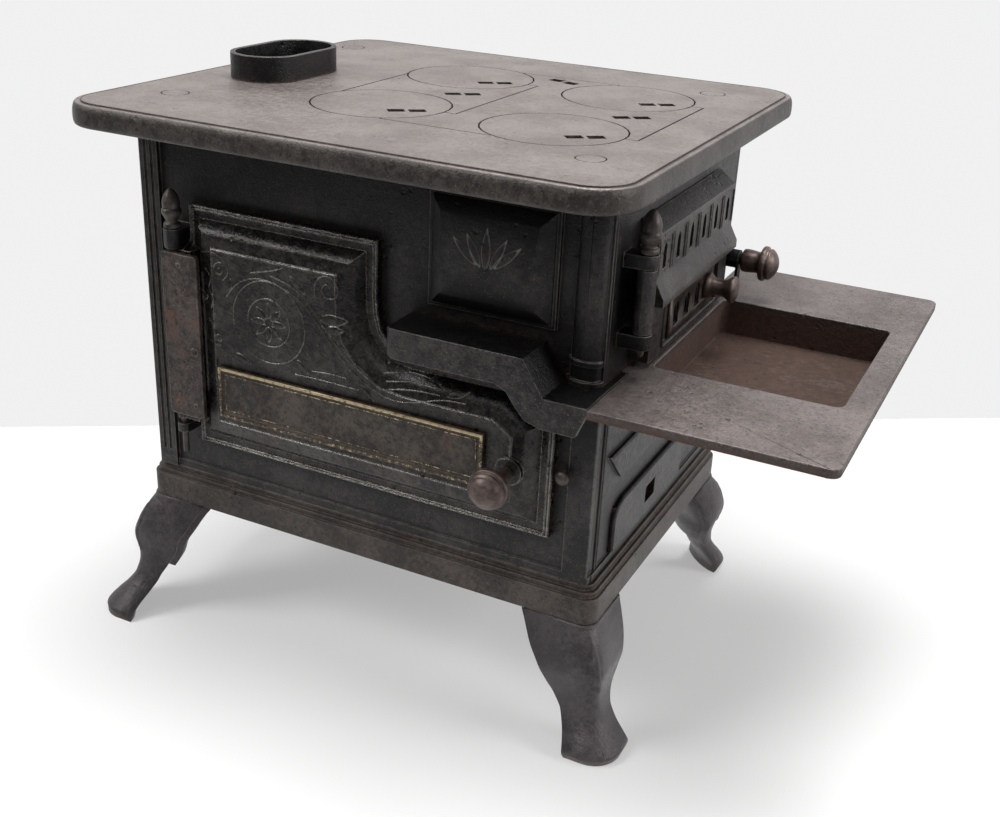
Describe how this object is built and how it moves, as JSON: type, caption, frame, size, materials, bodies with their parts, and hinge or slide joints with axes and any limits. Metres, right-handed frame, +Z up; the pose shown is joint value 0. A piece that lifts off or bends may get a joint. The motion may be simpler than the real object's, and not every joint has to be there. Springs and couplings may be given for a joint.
{
  "type": "cast iron stove",
  "caption": "Small cast iron cooking stove with lift-off lids, an L-shaped oven door, a firebox door, an open hearth plate and cabriole legs.",
  "frame": {"origin": "middle of the bounding box, on the floor", "axes": "+Z up, +X towards the firebox end and the hearth plate, -Y towards the oven door"},
  "size_m": [0.7898, 0.533, 0.614],
  "materials": {
    "cooktop_iron": "worn blackened cast iron with a dull satin sheen",
    "body_iron": "blackened cast iron, satin, with fine casting grain",
    "base_iron": "brownish blackened cast iron, satin",
    "hearth_iron": "worn grey-brown cast iron, rust brown in the well",
    "rusty_strap": "rust-brown, matt",
    "worn_gold_paint": "worn gold paint on a dark casting",
    "knob_iron": "bronze-brown polished by hands",
    "bright_iron": "worn iron",
    "sooty_iron": "sooty and rusty, matt"
  },
  "bodies": {
    "stove": {"top_plate": "cooktop_iron", "top_bolt_front_left": "cooktop_iron", "top_bolt_front_right": "cooktop_iron", "top_bolt_back_left": "cooktop_iron", "top_bolt_back_right": "cooktop_iron", "front_plate": "body_iron", "back_plate": "body_iron", "left_end_plate": "body_iron", "right_end_plate": "body_iron", "step_ledge": "body_iron", "flue_collar": "body_iron", "base_frame": "base_iron", "leg_front_left": "base_iron", "leg_front_right": "base_iron", "leg_back_left": "base_iron", "leg_back_right": "base_iron", "hearth_plate": "hearth_iron", "oven_hinge_rod": "bright_iron", "firebox_hinge_rod": "bright_iron", "oven_catch_peg": "bright_iron", "oven_rack": "bright_iron", "bottom_plate": "sooty_iron", "oven_box": "sooty_iron", "firebox_floor": "sooty_iron", "firebox_lining_front": "sooty_iron", "firebox_lining_back": "sooty_iron", "firebox_lining_left": "sooty_iron", "firebox_grate": "sooty_iron"},
    "left_centre_plate": {"centre_plate_left": "cooktop_iron"},
    "right_centre_plate": {"centre_plate_right": "cooktop_iron"},
    "front_left_lid": {"lid_front_left": "cooktop_iron"},
    "back_left_lid": {"lid_back_left": "cooktop_iron"},
    "front_right_lid": {"lid_front_right": "cooktop_iron"},
    "back_right_lid": {"lid_back_right": "cooktop_iron"},
    "oven_door": {"oven_door": "body_iron", "oven_door_liner": "sooty_iron", "hinge_strap": "rusty_strap", "door_badge_plate": "worn_gold_paint"},
    "oven_latch": {"oven_knob": "knob_iron", "oven_latch_tongue": "bright_iron"},
    "firebox_door": {"firebox_door": "body_iron"},
    "draft_slide": {"draft_slide": "bright_iron", "draft_knob": "knob_iron"},
    "firebox_latch": {"firebox_latch": "body_iron", "firebox_latch_knob": "knob_iron"},
    "clean_out_door": {"clean_out_door": "body_iron"}
  },
  "joints": [
    {"name": "left_centre_plate_lift", "type": "slide", "parent": "stove", "child": "left_centre_plate", "axis": [0, 0, 1], "range_m": [0, 0.06]},
    {"name": "right_centre_plate_lift", "type": "slide", "parent": "stove", "child": "right_centre_plate", "axis": [0, 0, 1], "range_m": [0, 0.06]},
    {"name": "front_left_lid_lift", "type": "slide", "parent": "left_centre_plate", "child": "front_left_lid", "axis": [0, 0, 1], "range_m": [0, 0.08]},
    {"name": "back_left_lid_lift", "type": "slide", "parent": "left_centre_plate", "child": "back_left_lid", "axis": [0, 0, 1], "range_m": [0, 0.08]},
    {"name": "front_right_lid_lift", "type": "slide", "parent": "right_centre_plate", "child": "front_right_lid", "axis": [0, 0, 1], "range_m": [0, 0.08]},
    {"name": "back_right_lid_lift", "type": "slide", "parent": "right_centre_plate", "child": "back_right_lid", "axis": [0, 0, 1], "range_m": [0, 0.08]},
    {"name": "oven_door_hinge", "type": "hinge", "parent": "stove", "child": "oven_door", "pos_m": [-0.28912, -0.188, 0.34], "axis": [0, 0, 1], "range_deg": [-105, 0]},
    {"name": "oven_latch_turn", "type": "hinge", "parent": "oven_door", "child": "oven_latch", "pos_m": [0.09388, -0.2, 0.291], "axis": [0, -1, 0], "range_deg": [0, 36]},
    {"name": "firebox_door_hinge", "type": "hinge", "parent": "stove", "child": "firebox_door", "pos_m": [0.19088, -0.134, 0.46], "axis": [0, 0, 1], "range_deg": [-110, 0]},
    {"name": "draft_slide_run", "type": "slide", "parent": "firebox_door", "child": "draft_slide", "axis": [0, 1, 0], "range_m": [-0.016, 0]},
    {"name": "firebox_latch_turn", "type": "hinge", "parent": "stove", "child": "firebox_latch", "pos_m": [0.17788, 0.143, 0.427], "axis": [1, 0, 0], "range_deg": [-90, 0]},
    {"name": "clean_out_door_pull", "type": "slide", "parent": "stove", "child": "clean_out_door", "axis": [1, 0, 0], "range_m": [0, 0.04]}
  ]
}
